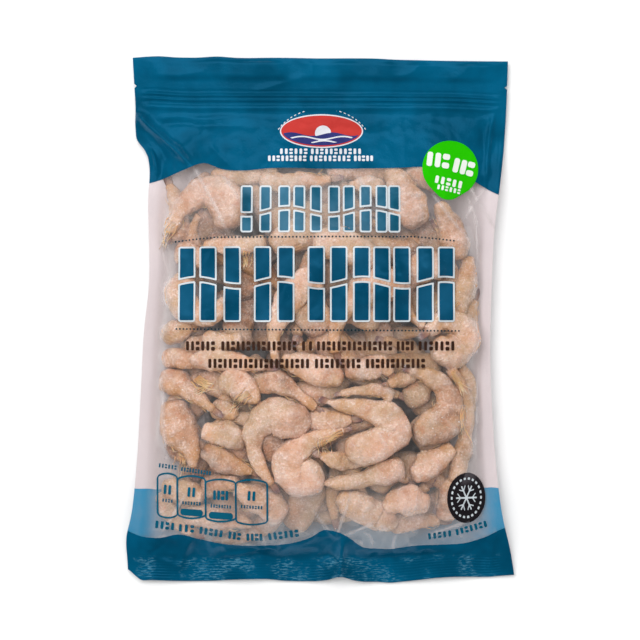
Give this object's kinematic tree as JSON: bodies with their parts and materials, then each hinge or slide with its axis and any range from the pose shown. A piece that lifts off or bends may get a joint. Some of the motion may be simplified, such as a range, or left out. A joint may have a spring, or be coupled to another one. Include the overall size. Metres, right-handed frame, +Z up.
{
  "type": "resealable pouch of frozen raw prawns",
  "caption": "Clear-window freezer pouch filled with frozen headless raw prawns, with printed bands, a press-to-close strip, a crimped bottom seal and a round sticker; it lies flat on its back.",
  "frame": {"origin": "centre of the bounding box in plan, at the floor the pouch lies on", "axes": "+X across the pouch to the shown side's right, +Y from the bottom seal to the top edge, +Z up out of the shown side"},
  "size_m": [0.2492, 0.3382, 0.0461],
  "materials": {
    "film": "printed gloss film",
    "sticker": "gloss label paper",
    "clear_film": "clear gloss film",
    "back_film": "white printed film",
    "print": "ink under gloss film",
    "prawn": "frosted shell"
  },
  "bodies": {
    "root": {"pouch": "film", "count_sticker": "sticker"}
  },
  "joints": []
}
